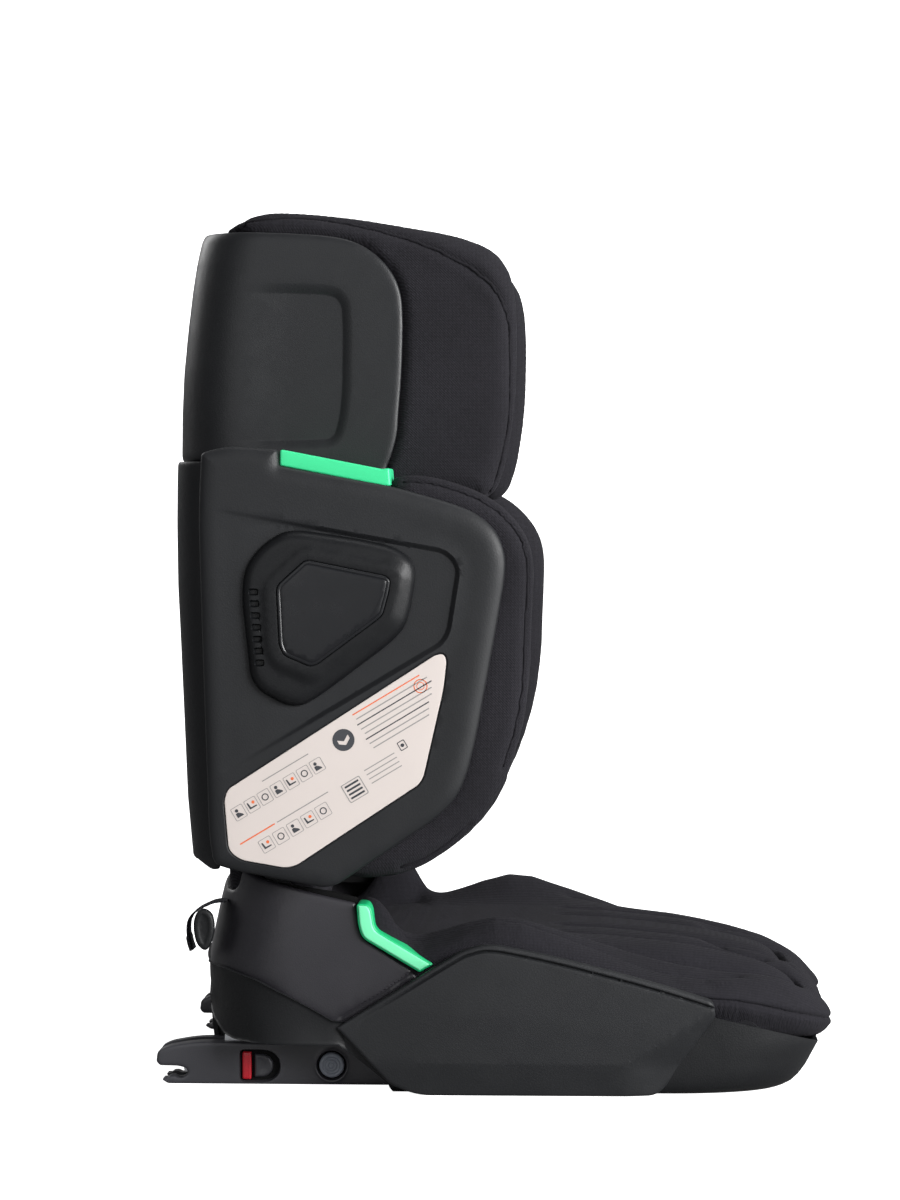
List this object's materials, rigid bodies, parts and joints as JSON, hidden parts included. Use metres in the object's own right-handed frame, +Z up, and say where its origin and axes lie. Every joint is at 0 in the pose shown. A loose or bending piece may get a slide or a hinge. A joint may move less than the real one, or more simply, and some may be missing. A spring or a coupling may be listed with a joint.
{
  "type": "high-back child booster seat",
  "caption": "High-back child booster seat with winged headrest, padded side wings, padded seat on a moulded base, belt guides and sliding connector arms.",
  "frame": {"origin": "on the underside, on the mid-plane, below the middle of the side panels", "axes": "+X the way the child faces, +Y the child's left, +Z up"},
  "size_m": [0.504, 0.436, 0.6486],
  "materials": {
    "shell_plastic": "fine grain, near black",
    "satin_plastic": "satin, dark grey",
    "badge_gloss": "polished, dark",
    "cover_fabric": "black knit",
    "mint_plastic": "smooth, mint green",
    "pale_mint_plastic": "smooth, pale mint",
    "label": "printed film",
    "red_plastic": "smooth, red",
    "button_plastic": "smooth, grey",
    "steel": "plain zinc plated",
    "foam": "expanded polystyrene",
    "webbing": "woven"
  },
  "bodies": {
    "base": {"base_lower_shell": "shell_plastic", "base_rear_collar": "satin_plastic", "isofix_guide_rail_left": "steel", "isofix_guide_rail_right": "steel", "lap_belt_guide_left": "pale_mint_plastic", "lap_belt_guide_right": "pale_mint_plastic", "recline_pin_left": "steel", "recline_pin_right": "steel", "seat_cushion": "cover_fabric", "seat_foam_core": "foam", "side_panel_left": "shell_plastic", "side_panel_right": "shell_plastic"},
    "isofix_arm_right": {"isofix_housing_right": "satin_plastic", "isofix_hook_pin_right": "steel"},
    "isofix_hook_right": {"isofix_latch_hook_right": "steel"},
    "isofix_release_right": {"isofix_release_slider_right": "satin_plastic", "isofix_indicator_right": "red_plastic"},
    "isofix_button_right": {"isofix_adjust_button_right": "button_plastic"},
    "isofix_arm_left": {"isofix_housing_left": "satin_plastic", "isofix_hook_pin_left": "steel"},
    "isofix_hook_left": {"isofix_latch_hook_left": "steel"},
    "isofix_release_left": {"isofix_release_slider_left": "satin_plastic", "isofix_indicator_left": "red_plastic"},
    "isofix_button_left": {"isofix_adjust_button_left": "button_plastic"},
    "strap": {"release_strap": "webbing", "release_strap_paddle": "shell_plastic"},
    "backrest": {"backrest_cushion": "cover_fabric", "backrest_foam_core": "foam", "backrest_rear_shell": "shell_plastic", "headrest_rack": "steel", "label_plate_right": "label", "recline_bracket_left": "steel", "recline_bracket_right": "steel", "side_pod_badge_left": "badge_gloss", "side_pod_badge_right": "badge_gloss", "side_pod_left": "shell_plastic", "side_pod_right": "shell_plastic", "side_shield_left": "shell_plastic", "side_shield_right": "shell_plastic"},
    "headrest": {"headrest_cushion": "cover_fabric", "headrest_foam_core": "foam", "headrest_shell": "shell_plastic", "headrest_slider_fork": "steel", "shoulder_belt_guide_left": "mint_plastic", "shoulder_belt_guide_right": "mint_plastic"},
    "headrest_release": {"headrest_handle": "satin_plastic"},
    "headrest_lock": {"headrest_lock_bar": "steel"}
  },
  "joints": [
    {"name": "backrest_recline", "type": "hinge", "parent": "base", "child": "backrest", "pos_m": [-0.19, 0, 0.128], "axis": [0, -1, 0], "range_deg": [-6, 16]},
    {"name": "headrest_height", "type": "slide", "parent": "backrest", "child": "headrest", "axis": [-0.02, 0, 0.9998], "range_m": [0, 0.15]},
    {"name": "headrest_handle_lift", "type": "slide", "parent": "headrest", "child": "headrest_release", "axis": [0, 0, 1], "range_m": [0, 0.006], "stiffness_N_per_m": 400},
    {"name": "headrest_lock_draw", "type": "slide", "parent": "headrest", "child": "headrest_lock", "axis": [1, 0, 0], "range_m": [0, 0.004]},
    {"name": "strap_pull", "type": "slide", "parent": "base", "child": "strap", "axis": [-1, 0, 0], "range_m": [0, 0.012], "stiffness_N_per_m": 300},
    {"name": "isofix_extend_right", "type": "slide", "parent": "base", "child": "isofix_arm_right", "axis": [-1, 0, 0], "range_m": [0, 0.08]},
    {"name": "isofix_release_slide_right", "type": "slide", "parent": "isofix_arm_right", "child": "isofix_release_right", "axis": [1, 0, 0], "range_m": [0, 0.0035], "stiffness_N_per_m": 500},
    {"name": "isofix_hook_turn_right", "type": "hinge", "parent": "isofix_arm_right", "child": "isofix_hook_right", "pos_m": [-0.252, -0.14, 0.019], "axis": [0, 1, 0], "range_deg": [0, 18]},
    {"name": "isofix_button_press_right", "type": "slide", "parent": "isofix_arm_right", "child": "isofix_button_right", "axis": [0, 1, 0], "range_m": [0, 0.003], "stiffness_N_per_m": 700},
    {"name": "isofix_extend_left", "type": "slide", "parent": "base", "child": "isofix_arm_left", "axis": [-1, 0, 0], "range_m": [0, 0.08]},
    {"name": "isofix_release_slide_left", "type": "slide", "parent": "isofix_arm_left", "child": "isofix_release_left", "axis": [1, 0, 0], "range_m": [0, 0.0035], "stiffness_N_per_m": 500},
    {"name": "isofix_hook_turn_left", "type": "hinge", "parent": "isofix_arm_left", "child": "isofix_hook_left", "pos_m": [-0.252, 0.14, 0.019], "axis": [0, 1, 0], "range_deg": [0, 18]},
    {"name": "isofix_button_press_left", "type": "slide", "parent": "isofix_arm_left", "child": "isofix_button_left", "axis": [0, -1, 0], "range_m": [0, 0.003], "stiffness_N_per_m": 700}
  ],
  "couplings": [
    {"joint": "headrest_lock_draw", "follows": "headrest_handle_lift", "ratio": 0.66667},
    {"joint": "isofix_hook_turn_right", "follows": "isofix_release_slide_right", "rad_per_m": 89},
    {"joint": "isofix_hook_turn_left", "follows": "isofix_release_slide_left", "rad_per_m": 89}
  ]
}
